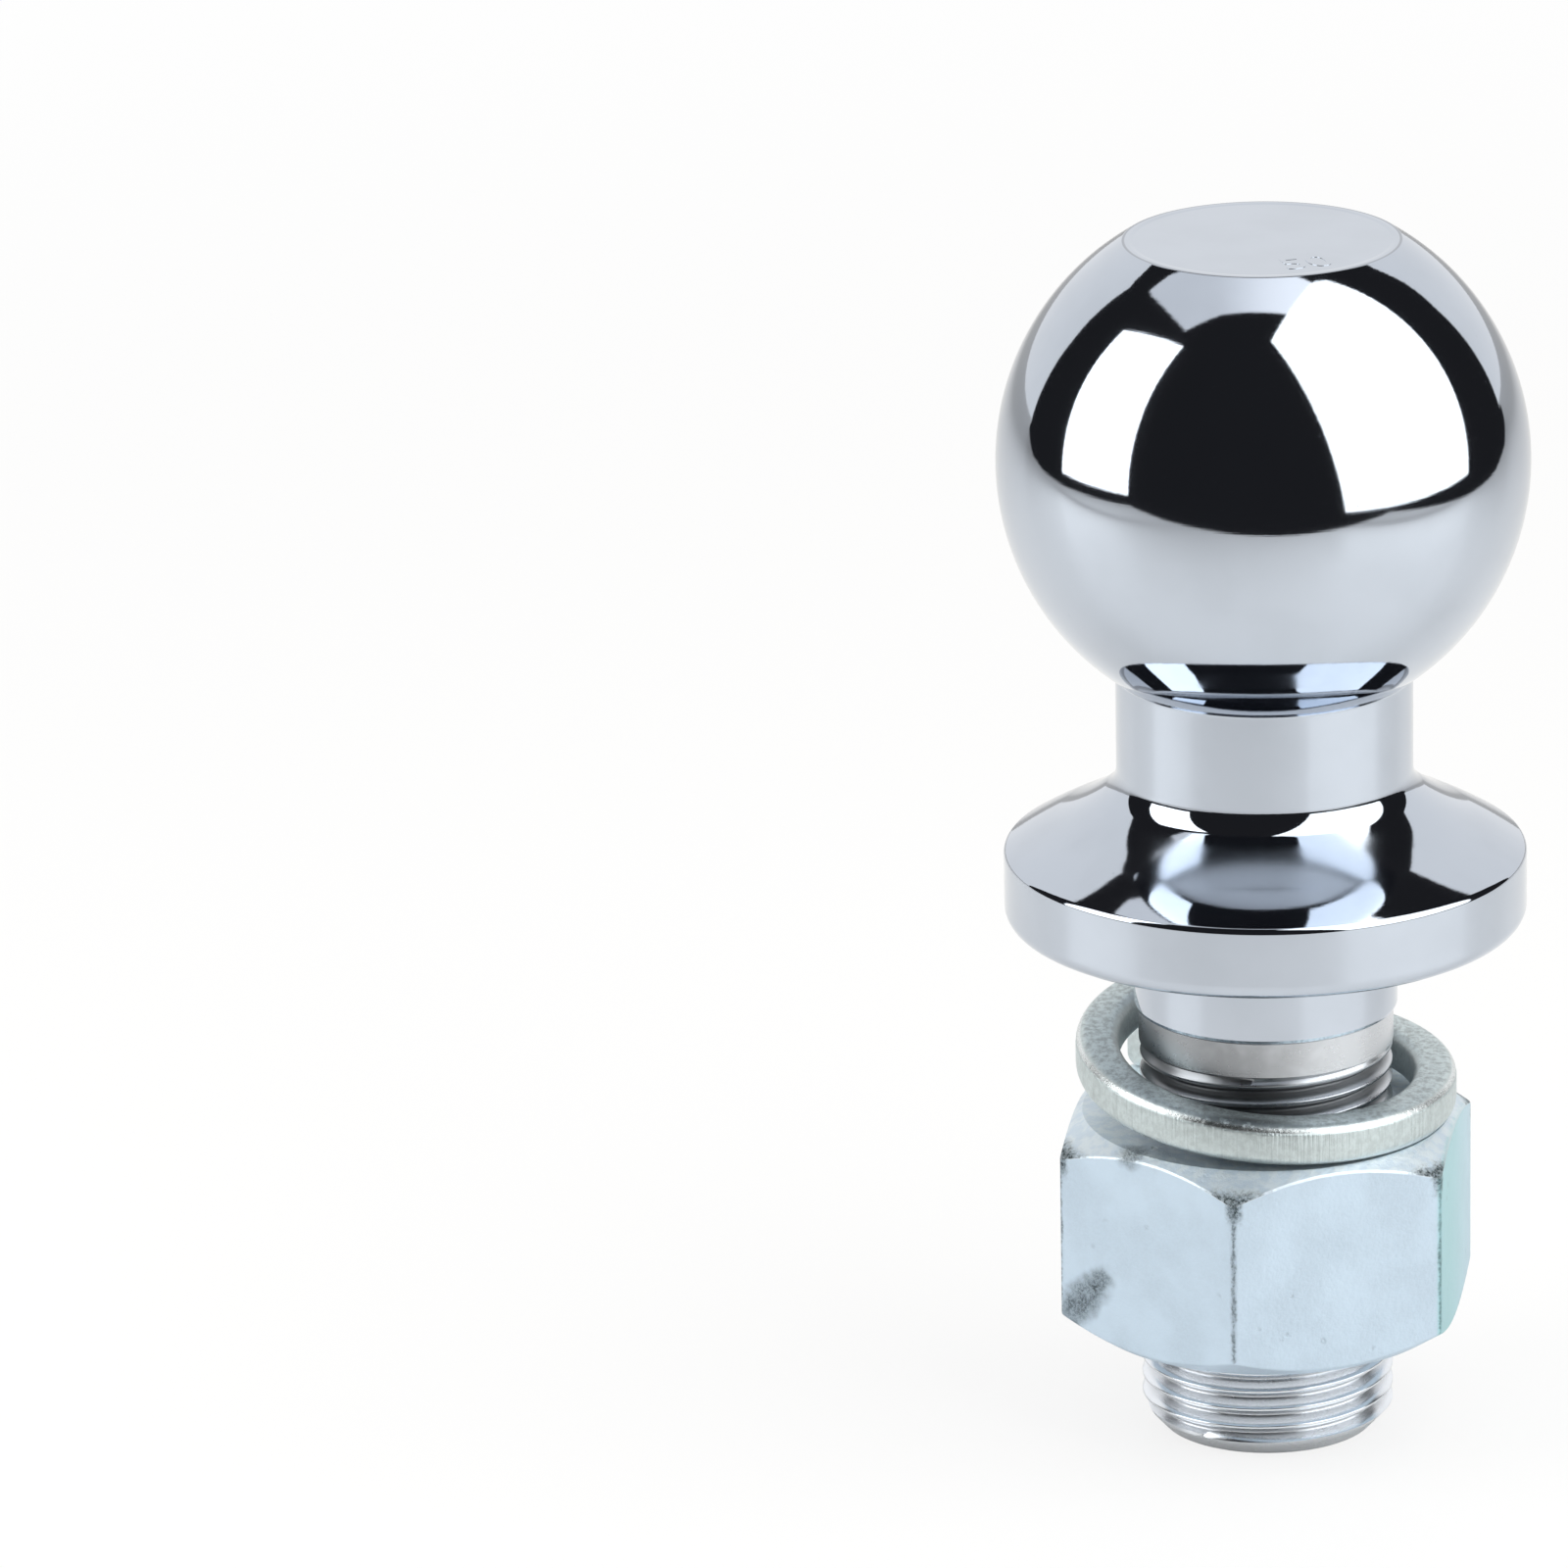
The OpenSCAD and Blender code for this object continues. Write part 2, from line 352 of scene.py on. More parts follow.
def chrome_finish(colours, s):
    f = Finish("chrome plate")
    place, radius, x, _, z = f.polar()
    haze = f.noise(place, 0.12, 3.0).ramp(0.35, 0.75)
    grains = f.noise(place, 3.5, 3.0, 0.6)
    lines = f.noise(f.vector(radius * 3.0, 0.0, z * 3.0), 1.6, 3.0, 0.7)
    specks = f.noise(place, 1.1).ramp(0.74, 0.80)
    tint = f.mix(haze * 0.6 + specks * 0.4, shade(colours.chrome, 1.02), shade(colours.chrome, 0.93))
    # The flange's hollow is duller in front and behind
    neck_r, turn_r, flat_r = s.neck_d / 2, s.turn_d / 2, s.flat_d / 2
    rim_z = shank_levels(s)[1] + s.flange_side
    hollow = radius.ramp(neck_r + 0.6, neck_r + 2.5) * radius.fall(turn_r + 0.1, turn_r + 2.1)
    hollow = hollow * z.fall(rim_z + 4.9, rim_z + 5.7) * (x * x).fall(80.0, 150.0)
    # A dark line inside the rim of the flat
    line = radius.ramp(flat_r - 0.28, flat_r - 0.16) * radius.fall(flat_r - 0.04, flat_r + 0.06)
    line = line * z.ramp(BALL_TOP - 0.55, BALL_TOP - 0.25)
    tint = f.mix(line * 0.55, tint, colours.rim_line)
    rough = 0.03 + lines * 0.02 + haze * 0.015 + grains.ramp(0.6, 0.85) * 0.03 + specks * 0.12 + hollow * 0.10
    normal = f.bump(lines * 0.6 + grains * 0.4 - specks * 0.8, 0.0024 * MM)
    return f.metal(Base_Color=tint, Metallic=1.0, Roughness=rough, Normal=normal)


def steel_finish(colours, s):
    f = Finish("turned steel")
    place, radius, x, _, z = f.polar()
    lines = f.noise(f.vector(radius * 2.0, 0.0, z * 5.0), 1.0, 3.0, 0.6)
    grains = f.noise(place, 1.8, 3.0, 0.6)
    oil_and_shade_blotch = f.noise(place, 0.35).ramp(0.45, 0.7)
    # Painted shade: the upper end is darker, most on its left side, and the thread below it is a lighter, lit
    # copy of the steel; painted shade also makes the thread's grooves darker than its crests
    thread_r = s.thread_d / 2
    upper = z.ramp(s.thread_l - 8.7, s.thread_l - 2.7)
    groove = radius.fall(thread_r - 1.0, thread_r - 0.2)
    shallow = radius.fall(thread_r - 0.6, thread_r - 0.03) * upper
    # Painted shade: darker towards the left side, along a blotchy edge
    painted_side_shade = f.mix((x + oil_and_shade_blotch * 4.0).ramp(-6.0, 9.0), shade(colours.steel, 0.56), shade(colours.steel, 1.1))
    tint = f.mix(upper, shade(colours.steel, 1.5), painted_side_shade)
    # Painted shade in the thread's grooves, and more in the shallow grooves of the run-out
    tint = f.mix(groove * (0.25 + upper * 0.45), tint, shade(colours.steel, 0.25))
    tint = f.mix(shallow * 0.55, tint, shade(colours.steel, 0.3))
    rough = 0.14 + lines * 0.07 + grains * 0.05 + oil_and_shade_blotch * 0.05 + groove * 0.08 + upper * (0.08 + groove * 0.14)
    normal = f.bump(lines * 0.7 + grains * 0.3, 0.005 * MM)
    return f.metal(Base_Color=tint, Metallic=1.0, Roughness=rough, Normal=normal)


def nut_finish(colours, s):
    f = Finish("zinc plate of the nut")
    place, radius, _, y, z = f.polar()
    grain = f.noise(place, 2.6, 4.0, 0.65)
    coarse = f.noise(place, 0.8, 3.0, 0.6)
    cloud = f.noise(place, 0.16, 3.0).ramp(0.35, 0.65)
    speckle = f.noise(place, 3.2, 3.0, 0.8).ramp(0.40, 0.62)
    dents = f.node("ShaderNodeTexVoronoi", {"feature": "F1"}, {"Vector": place, "Scale": 0.33})
    dents = dents.fall(0.05, 0.16) * coarse.ramp(0.45, 0.6)
    level = f.level()
    flat_r = s.across / 2
    corner_r = nut_column(s, SIXTH / 2)[0]
    # Distance from the axis along the ways that the left front flat and the right flat face
    left_front, right = (maths("DOT_PRODUCT", place, flat_way(s, number)) for number in (3, 5))
    # Dark marks: a line on the upright corners, grime with painted shade in the notches above and below them,
    # a smudge by the washer, and a rubbed patch low on one flat
    corner = (radius + coarse * 0.25).ramp(corner_r + 0.015, corner_r + 0.115) * 0.65
    above = (radius + coarse * 1.5).ramp(corner_r - 0.965, corner_r + 0.135) * level.ramp(0.15, 0.45)
    below = (radius + coarse * 0.5).ramp(corner_r - 0.215, corner_r + 0.185)
    below = below * z.ramp(NUT_TOP - 4.6, NUT_TOP - 2.8)
    smudge = (maths("DISTANCE", place, SMUDGE) + coarse * 2.0).ramp(1.6, 3.2, 0.7, 0.0)
    # Grime with painted shade in the notches by the corners, and the smudge
    notch = above.most(below).most(smudge)
    away = place - RUBBED_PATCH
    along, aside = (maths("DOT_PRODUCT", away, way) for way in (RUBBED_LENGTH, RUBBED_WIDTH))
    patch = (along * along + aside * aside + coarse * 1.6).fall(0.5, 2.0)
    patch = patch * left_front.ramp(flat_r - 2.25, flat_r - 0.75)
    # Grime and painted shade together
    grime_and_shade = (corner * (0.4 + speckle * 0.6)).most(notch.most(patch) * (0.5 + speckle * 0.5))
    # Bright wear and a painted highlight where the chamfers meet the flats
    edge = level.ramp(0.04, 0.30) * level.fall(0.66, 0.81)
    # Painted sheen on the right flat, strongest at its front
    sheen = right.ramp(flat_r - 0.55, flat_r - 0.15) * y.ramp(-9.0, 9.0, 0.85, 0.25)
    base = f.mix(cloud, shade(colours.nut, 1.04), shade(colours.nut, 0.97))
    base = f.mix(speckle * cloud * 0.10, base, shade(colours.nut, 0.6))
    # Painted sheen on the right flat
    base = f.mix(sheen, base, colours.nut_sheen)
    # Painted light: the faces that look up, the top and the chamfers, are lighter
    base = f.mix(level.ramp(0.5, 0.8) * (0.35 + coarse.ramp(0.4, 0.6) * 0.4), base, colours.nut_painted_light_top)
    # Painted highlight with the wear along the chamfers' edges
    base = f.mix(edge * 0.5, base, colours.nut_edge_wear_and_highlight)
    base = f.mix((grime_and_shade + dents * 0.15).least(1.0), base, colours.grime_and_shade)
    rough = 0.40 + grain * 0.12 - edge * 0.08 + grime_and_shade * 0.1
    normal = f.bump(grain * 0.6 + coarse * 0.9 - dents * 0.8 + speckle * grime_and_shade * 0.8, 0.08 * MM)
    return f.metal(Base_Color=base, Metallic=0.85, Roughness=rough, Normal=normal)


def washer_finish(colours, s):
    f = Finish("zinc plate of the washer")
    place, radius, x, y, z = f.polar()
    grain = f.noise(place, 2.0, 4.0, 0.7)
    speckle = f.noise(place, 1.5, 5.0, 0.75)
    level = f.level()
    middle_r, outer_r = s.inner_r + s.width / 2, s.inner_r + s.width
    top = level.ramp(0.80, 0.97)
    # Painted highlight on the upper outer rounded edge
    edge = level.ramp(0.25, 0.45) * level.fall(0.70, 0.88) * radius.ramp(middle_r - 0.05, middle_r + 0.55)
    ridges = f.noise(f.vector(maths("ARCTAN2", y, x) * 60.0, z * 0.12), 1.0, 2.0, 0.6)
    outer = radius.ramp(outer_r - 0.7, outer_r - 0.2) * level.fall(0.2, 0.4)
    base = f.mix(speckle.ramp(0.36, 0.64), shade(colours.washer, 0.98), shade(colours.washer, 1.16))
    mottled = f.mix(speckle.ramp(0.36, 0.60), shade(colours.washer, 0.80), shade(colours.washer, 1.28))
    # A worn stretch of the upper edge, at the front, where the plate has gone
    worn = maths("LENGTH", (place - WORN_STRETCH) * WORN_SHARES).fall(0.6, 1.4)
    worn = worn * level.ramp(0.2, 0.5) * speckle.ramp(0.36, 0.50)
    base = f.mix(top, base, mottled)
    # Painted highlight on the rounded edge
    base = f.mix(edge * 0.7, base, colours.washer_edge_highlight)
    base = f.mix(outer * ridges.ramp(0.5, 0.8) * 0.4, base, shade(colours.washer, 0.55))
    base = f.mix(worn * 0.85, base, shade(colours.washer, 0.28))
    rough = 0.34 + grain * 0.14 - edge * 0.14
    normal = f.bump(grain * 0.5 + speckle * 0.5 + outer * ridges * 1.6, 0.08 * MM)
    return f.metal(Base_Color=base, Metallic=0.9, Roughness=rough, Normal=normal)


# Outlines, as points with their outward normals

def arc(centre, radius, start, end, steps, side=1.0):
    """Points of a rounded stretch; the angles are in degrees, and side is -1 where the stretch is hollow"""
    points = []
    for i in range(steps + 1):
        a = math.radians(start + (end - start) * i / steps)
        c, s = math.cos(a), math.sin(a)
        points.append((centre[0] + radius * c, centre[1] + radius * s, side * c, side * s))
    return points


def straight(start, end, steps=1):
    """Points of a straight stretch"""
    dr, dz = end[0] - start[0], end[1] - start[1]
    size = math.hypot(dr, dz)
    normal = (-dz / size, dr / size)
    return [(start[0] + dr * i / steps, start[1] + dz * i / steps, *normal) for i in range(steps + 1)]


def heading(centre, point):
    """Angle in degrees at which a point is seen from a centre"""
    return math.degrees(math.atan2(point[1] - centre[1], point[0] - centre[0]))


def towards(start, end, distance):
    """Point at a distance from one point towards another"""
    size = math.hypot(end[0] - start[0], end[1] - start[1])
    return tuple(start[i] + (end[i] - start[i]) * distance / size for i in (0, 1))


def under(centre, radius, r):
    """Height of the lower side of a circle at a distance from the axis"""
    return centre[1] - math.sqrt(radius * radius - (r - centre[0]) ** 2)


def over(centre, radius, r):
    """Height of the upper side of a circle at a distance from the axis"""
    return centre[1] + math.sqrt(radius * radius - (r - centre[0]) ** 2)


def shank_levels(s):
    """Heights of the plain shank's lower end and of the flange's underside"""
    shank_z = s.thread_l + s.blank_l
    return shank_z, shank_z + s.shank_l


def ball_outline(s):
    """Stretches of the turned outline from the middle of the top flat down to the end of the blank"""
    ball_r, neck_r, flange_r, flat_r = s.ball_d / 2, s.neck_d / 2, s.flange_d / 2, s.flat_d / 2
    blank_r = s.thread_d / 2 + s.blank_step
    shank_r = blank_r + s.shank_step
    shank_z, base_z = shank_levels(s)
    rim_z = base_z + s.flange_side
    centre = (0.0, base_z + s.ball_rise)
    flat_z = centre[1] + math.sqrt(ball_r ** 2 - flat_r ** 2)
    # The flat's rim, and the foot of the step from it down to the stamped face
    floor_z = flat_z - s.flat_dip
    edge_z = flat_z - s.flat_edge
    edge_c = (math.sqrt((ball_r - s.flat_edge) ** 2 - (edge_z - centre[1]) ** 2), edge_z)
    edge_a = heading(centre, edge_c)
    lip_r = edge_c[0] - 0.5
    foot_r = edge_c[0] - 0.9
    # The dished top: a hollow and a shoulder that have the same slope where one turns into the other
    lean = (math.sin(s.turn_slope), math.cos(s.turn_slope))
    shoulder_x = s.turn_d / 2 - s.shoulder_r * lean[0]
    shoulder_c = (shoulder_x, under((shoulder_x, rim_z), s.shoulder_r, flange_r))
    turn = tuple(shoulder_c[i] + s.shoulder_r * lean[i] for i in (0, 1))
    hollow_c = tuple(turn[i] + s.hollow_r * lean[i] for i in (0, 1))
    rim_c = (flange_r - s.rim_r, over(shoulder_c, s.shoulder_r - s.rim_r, flange_r - s.rim_r))
    rim_t = towards(shoulder_c, rim_c, s.shoulder_r)
    base_c = (flange_r - s.base_r, base_z + s.base_r)
    # The neck's two fillets
    foot_c = (neck_r + s.neck_fillet, under(hollow_c, s.hollow_r - s.neck_fillet, neck_r + s.neck_fillet))
    foot_t = towards(hollow_c, foot_c, s.hollow_r)
    head_c = (neck_r + s.ball_fillet, under(centre, ball_r + s.ball_fillet, neck_r + s.ball_fillet))
    head_t = towards(centre, head_c, ball_r)
    # The shank's lower edge, chamfered in two steps
    corner = (shank_r, shank_z + 0.3)
    chamfer = (shank_r - 0.1, shank_z)
    notch = (blank_r, shank_z - 0.2)
    return [
        straight((0.0, floor_z), (foot_r, floor_z), 6),
        straight((foot_r, floor_z), (lip_r, flat_z)),
        straight((lip_r, flat_z), (edge_c[0], flat_z)),
        arc(edge_c, s.flat_edge, 90, edge_a, 5),
        arc(centre, ball_r, edge_a, heading(centre, head_t), 96),
        arc(head_c, s.ball_fillet, heading(head_c, head_t), 180, 8, -1),
        straight((neck_r, head_c[1]), (neck_r, foot_c[1]), 3),
        arc(foot_c, s.neck_fillet, -180, heading(foot_c, foot_t), 14, -1),
        arc(hollow_c, s.hollow_r, heading(hollow_c, foot_t), heading(hollow_c, turn), 30, -1),
        arc(shoulder_c, s.shoulder_r, heading(shoulder_c, turn), heading(shoulder_c, rim_t), 12),
        arc(rim_c, s.rim_r, heading(rim_c, rim_t), 0, 10),
        straight((flange_r, rim_c[1]), (flange_r, base_c[1]), 3),
        arc(base_c, s.base_r, 0, -90, 12),
        straight((base_c[0], base_z), (shank_r, base_z), 4),
        straight((shank_r, base_z), corner, 3),
        straight(corner, chamfer),
        straight(chamfer, notch),
        straight(notch, (blank_r, s.thread_l), 2),
    ]


def thread_outline(s):
    """Shares of one pitch and radii there, from a crest down one flank and up the next"""
    crest = s.thread_d / 2
    root = crest - s.thread_depth
    middle = crest - 0.5 * s.thread_depth
    crest_edge, root_edge = crest - 0.04, root + 0.06
    return [(0.02, crest), (0.12, crest), (0.15, crest_edge), (0.31, middle), (0.48, root_edge), (0.53, root),
            (0.60, root), (0.65, root_edge), (0.82, middle), (0.99, crest_edge)]


# Meshes

def add_to_scene(name, data):
    piece = bpy.data.objects.new(name, data)
    bpy.context.scene.collection.objects.link(piece)
    return piece


def as_object(name, mesh, materials):
    data = bpy.data.meshes.new(name)
    mesh.to_mesh(data)
    mesh.free()
    for polygon in data.polygons:
        polygon.use_smooth = True
    for material in materials:
        data.materials.append(material)
    return add_to_scene(name, data)


def add_thread(mesh, s, segment):
    """A right-hand thread whose rows follow the helix; rows past its ends fall on the end rings"""
    outline = thread_outline(s)
    per = len(outline)
    turns = math.ceil(s.thread_l / s.pitch) + 2
    thread_r = s.thread_d / 2
    top_r = thread_r + s.blank_step
    end_r = thread_r - s.end_depth
    # The thread runs out under the blank, and its last stretch rises to the blank's radius
    run_out, last = 0.9 * s.pitch, 0.25
    rows = []
    for k in range(turns * per):
        turn, step = divmod(k, per)
        share, radius = outline[step]
        row = []
        for j in range(s.columns):
            z = (turn - 1 + share + j / s.columns) * s.pitch
            z = min(max(z, 0.0), s.thread_l)
            left = s.thread_l - z
            r = thread_r - (thread_r - radius) * min(1.0, left / run_out) ** 0.6
            if left < last:
                r = top_r + (r - top_r) * left / last
            r = min(r, end_r + z * s.end_depth / s.end_chamfer)
            a = 2 * math.pi * j / s.columns
            row.append(mesh.verts.new((r * math.cos(a) * MM, r * math.sin(a) * MM, z * MM)))
        rows.append(row)
    for k in range(len(rows) - 1):
        for j in range(s.columns):
            if j + 1 < s.columns:
                right = (rows[k][j + 1], rows[k + 1][j + 1])
            elif k + 1 + per < len(rows):
                right = (rows[k + per][0], rows[k + per + 1][0])
            else:
                continue
            face = mesh.faces.new((rows[k][j], right[0], right[1], rows[k + 1][j]))
            face[segment] = THREAD_MARK


def lathe(mesh, stretches, columns, segment):
    """Turns an outline into faces, each marked with its stretch and its step there"""
    ring = None
    for index, stretch in enumerate(stretches):
        for step, (r, z, *_) in enumerate(stretch):
            if step == 0 and ring is not None:
                continue
            if r < 1e-9:
                new = [mesh.verts.new((0, 0, z * MM))]
            else:
                turns = [2 * math.pi * j / columns for j in range(columns)]
                new = [mesh.verts.new((r * math.cos(a) * MM, r * math.sin(a) * MM, z * MM)) for a in turns]
            if ring is not None:
                for j in range(columns):
                    n = (j + 1) % columns
                    if len(ring) == 1:
                        face = mesh.faces.new((ring[0], new[j], new[n]))
                    elif len(new) == 1:
                        face = mesh.faces.new((ring[j], new[0], ring[n]))
                    else:
                        face = mesh.faces.new((ring[j], new[j], new[n], ring[n]))
                    face[segment] = index * STRETCH_STEPS + step
            ring = new


def outline_normal(vert, a, b):
    """Normal at a vertex of a turned face, from the nearer end of the outline's step from a to b"""
    r, z = math.hypot(vert.co.x, vert.co.y) / MM, vert.co.z / MM
    near = min(b, a, key=lambda end: math.hypot(r - end[0], z - end[1]))
    if r < 1e-6:
        return (0, 0, near[3])
    return (near[2] * vert.co.x / MM / r, near[2] * vert.co.y / MM / r, near[3])


def ball_piece(s, chrome, steel):
    stretches = ball_outline(s)
    mesh = bmesh.new()
    segment = mesh.faces.layers.int.new("stretch")
    lathe(mesh, stretches, s.columns, segment)
    add_thread(mesh, s, segment)
    end_r = s.thread_d / 2 - s.end_depth
    lathe(mesh, [straight((end_r, 0.0), (0.0, 0.0), 4)], s.columns, segment)
    bmesh.ops.remove_doubles(mesh, verts=mesh.verts, dist=0.0004 * MM)
    bmesh.ops.dissolve_degenerate(mesh, edges=mesh.edges, dist=0.0004 * MM)
    # Chrome down to the plain shank, bare steel under it, and normals from the outline except on the thread
    plated_z = (shank_levels(s)[0] - 0.1) * MM
    end_face_z = 0.01 * MM
    normals = []
    for face in mesh.faces:
        height = face.calc_center_median().z
        face.material_index = 0 if height > plated_z else 1
        if face[segment] == THREAD_MARK:
            normals.extend([(0, 0, 0)] * len(face.verts))
        elif height < end_face_z:
            normals.extend([(0, 0, -1)] * len(face.verts))
        else:
            index, step = divmod(face[segment], STRETCH_STEPS)
            a, b = stretches[index][step - 1:step + 1]
            normals.extend(outline_normal(vert, a, b) for vert in face.verts)
    piece = as_object("tow_ball_turned", mesh, [chrome, steel])
    piece.data.set_sharp_from_angle(angle=math.radians(42))
    piece.data.normals_split_custom_set(normals)
    return piece


def size_stamp(s, material):
    """The ball's size stamped in the top flat"""
    curve = bpy.data.curves.new("size_stamp", "FONT")
    curve.body = "%g" % s.ball_d
    curve.size = s.stamp * MM
    curve.align_x = "CENTER"
    curve.extrude = 0.012 * MM
    curve.bevel_depth = 0.03 * MM
    curve.bevel_resolution = 2
    letters = add_to_scene("size_stamp_letters", curve)
    bpy.context.view_layer.update()
    data = bpy.data.meshes.new_from_object(letters)
    bpy.data.objects.remove(letters)
    data.name = "size_stamp"
    middle = Vector((*STAMP_MIDDLE, BALL_TOP - STAMP_SUNK)) * MM
    data.transform(Matrix.Translation(middle) @ Matrix.Rotation(STAMP_TURN, 4, "Z"))
    data.materials.clear()
    data.materials.append(material)
    return add_to_scene("size_stamp", data)


def flat_way(s, number):
    """The way that one of the nut's flats faces, counted anticlockwise as seen from above"""
    way = s.angle + SIXTH / 2 + number * SIXTH
    return math.cos(way), math.sin(way), 0.0


def nut_column(s, turn):
    """Radius of the hexagon with rounded corners in a direction, and the way that its side faces"""
    sector = round(turn / SIXTH)
    off = turn - sector * SIXTH
    apothem, inner = s.across / 2, s.across / 2 - s.corner_r
    if abs(apothem * math.tan(off)) <= inner * math.tan(SIXTH / 2):
        return apothem / math.cos(off), sector * SIXTH
    corner = inner / math.cos(SIXTH / 2)
    way = math.copysign(SIXTH / 2, off)
    rest = off - way
    radius = corner * math.cos(rest) + math.sqrt(s.corner_r ** 2 - (corner * math.sin(rest)) ** 2)
    x = radius * math.cos(off) - corner * math.cos(way)
    y = radius * math.sin(off) - corner * math.sin(way)
    return radius, sector * SIXTH + math.atan2(y, x)


def nut_end(s, turn, sink_r, face_r):
    """One direction of the nut's end, from the countersink out over the chamfer to the side

    Each point has a radius, its depth below the end face and its normal.
    """
    side_r, way = nut_column(s, turn)
    up = Vector((0, 0, 1))
    side = Vector((math.cos(way), math.sin(way), 0))
    lean = math.sin(s.chamfer)
    cone = Vector((math.cos(turn) * lean, math.sin(turn) * lean, math.cos(s.chamfer)))
    drop = (side_r - face_r) * math.tan(s.chamfer)
    reach = min(s.edge_r * math.tan((math.pi / 2 - s.chamfer) / 2), (side_r - face_r) * 0.45)
    start = (side_r - reach * math.cos(s.chamfer), drop - reach * math.sin(s.chamfer))
    end = (side_r, drop + reach)
    points = [(sink_r, 0.0, up), ((sink_r + face_r) / 2, 0.0, up), (face_r, 0.0, up), (face_r, 0.0, cone)]
    steps = 5
    for i in range(steps + 1):
        u = i / steps
        r = (1 - u) ** 2 * start[0] + 2 * u * (1 - u) * side_r + u * u * end[0]
        depth = (1 - u) ** 2 * start[1] + 2 * u * (1 - u) * drop + u * u * end[1]
        points.append((r, depth, cone.lerp(side, u).normalized()))
    return points


def nut_piece(s, material):
    """The nut's skin, in rings of one point for each direction: top, side, underside and bore"""
    face_r = s.across / 2 * s.face_share
    bore_r, sink_r = s.bore_d / 2, s.bore_d / 2 + s.sink
    columns, side_rows = 6 * 48, 8
    turns = [2 * math.pi * j / columns for j in range(columns)]
    ends = [nut_end(s, turn, sink_r, face_r) for turn in turns]
    rows = [[(r, NUT_TOP - depth, normal) for r, depth, normal in ring] for ring in zip(*ends)]
    for k in range(1, side_rows):
        share = k / side_rows
        rows.append([(r, (NUT_TOP - depth) * (1 - share) + (NUT_LOW + depth) * share, normal)
                     for r, depth, normal in (end[-1] for end in ends)])
    mirror = Vector((1, 1, -1))
    for ring in reversed(list(zip(*ends))):
        rows.append([(r, NUT_LOW + depth, normal * mirror) for r, depth, normal in ring])
    low, high = NUT_LOW + s.sink, NUT_TOP - s.sink
    for r, z, lean in ((sink_r, NUT_LOW, 1), (bore_r, low, 1), (bore_r, low, 0), (bore_r, high, 0),
                       (bore_r, high, -1), (sink_r, NUT_TOP, -1)):
        inward = [Vector((-math.cos(turn), -math.sin(turn), -lean)).normalized() for turn in turns]
        rows.append([(r, z, normal) for normal in inward])
    spin = Matrix.Rotation(s.angle + SIXTH / 2, 3, "Z")
    mesh = bmesh.new()
    verts = [[mesh.verts.new(spin @ Vector((r * math.cos(turn), r * math.sin(turn), z)) * MM)
              for turn, (r, z, _) in zip(turns, row)] for row in rows]
    loops = []
    for k in range(len(rows) - 1):
        # Two rows in one place are the two sides of a sharp edge
        if rows[k][0][:2] == rows[k + 1][0][:2]:
            continue
        for j in range(columns):
            n = (j + 1) % columns
            corners = ((k, j), (k + 1, j), (k + 1, n), (k, n))
            mesh.faces.new([verts[row][column] for row, column in corners])
            loops.extend(spin @ rows[row][column][2] for row, column in corners)
    bmesh.ops.remove_doubles(mesh, verts=mesh.verts, dist=0.0002 * MM)
    piece = as_object("zinc_nut", mesh, [material])
    piece.data.normals_split_custom_set(loops)
    return piece


def washer_piece(s, material):
    """Split ring swept along its rising and tilted path"""
    rng = random.Random(7)
    waves = [(rng.randint(40, 260), rng.uniform(0, 6.28), rng.uniform(0.3, 1.0)) for _ in range(14)]
    mesh = bmesh.new()
    foot = NUT_TOP + s.seat
    outline = []
    for cx, cz, start in ((1, 1, 0), (0, 1, 90), (0, 0, 180), (1, 0, 270)):
        centre = (s.inner_r + s.corner_r + cx * (s.width - 2 * s.corner_r),
                  s.corner_r + cz * (s.height - 2 * s.corner_r))
        outline.extend(arc(centre, s.corner_r, start, start + 90, 7))
    steps = 480
    sweep = 2 * math.pi - s.cut
    rings = []
    for i in range(steps + 1):
        a = sweep * i / steps + s.cut / 2
        lie = s.climb * (a / (2 * math.pi) - (1 - math.cos(a)) / 4 + math.sin(a) / (2 * math.pi))
        azimuth = s.angle - a
        ripple = sum(w * math.sin(n * a + p) for n, p, w in waves) / 5
        ring = []
        for r, z, out, _ in outline:
            if r > s.inner_r + s.width / 2:
                r -= s.ridge * (1 - ripple) * max(0.0, out)
            ring.append(mesh.verts.new((r * math.cos(azimuth) * MM, r * math.sin(azimuth) * MM,
                                        (foot + z + lie) * MM)))
        rings.append(ring)
    n = len(outline)
    for i in range(steps):
        for j in range(n):
            k = (j + 1) % n
            mesh.faces.new((rings[i][j], rings[i][k], rings[i + 1][k], rings[i + 1][j]))
    mesh.faces.new(list(reversed(rings[0])))
    mesh.faces.new(rings[-1])
    bmesh.ops.recalc_face_normals(mesh, faces=mesh.faces)
    piece = as_object("zinc_spring_washer", mesh, [material])
    piece.data.set_sharp_from_angle(angle=math.radians(50))
    return piece


# Stage

def sheet(name, corners, faces):
    """A stage piece from corners in millimetres"""
    data = bpy.data.meshes.new(name)
    data.from_pydata([Vector(corner) * MM for corner in corners], [], faces)
    return add_to_scene(name, data)


def around(azimuth, distance):
    """Level place at an azimuth in degrees, counted rightwards from the front, and a distance"""
    a = math.radians(azimuth)
    return math.sin(a) * distance, -math.cos(a) * distance


def room_floor():
    """Dark floor round the table, from its edge out past the room's wall"""
    rise = 0.4
    corners = []
    for x, y in TABLE:
        share = 2 * ROOM_REACH / math.hypot(x, y)
        corners.extend([(x, y, rise), (x * share, y * share, rise)])
    faces = [(2 * i, 2 * i + 1, 2 * i + 3, 2 * i + 2) for i in range(len(TABLE) - 1)]
    return sheet("room_floor", corners, faces)


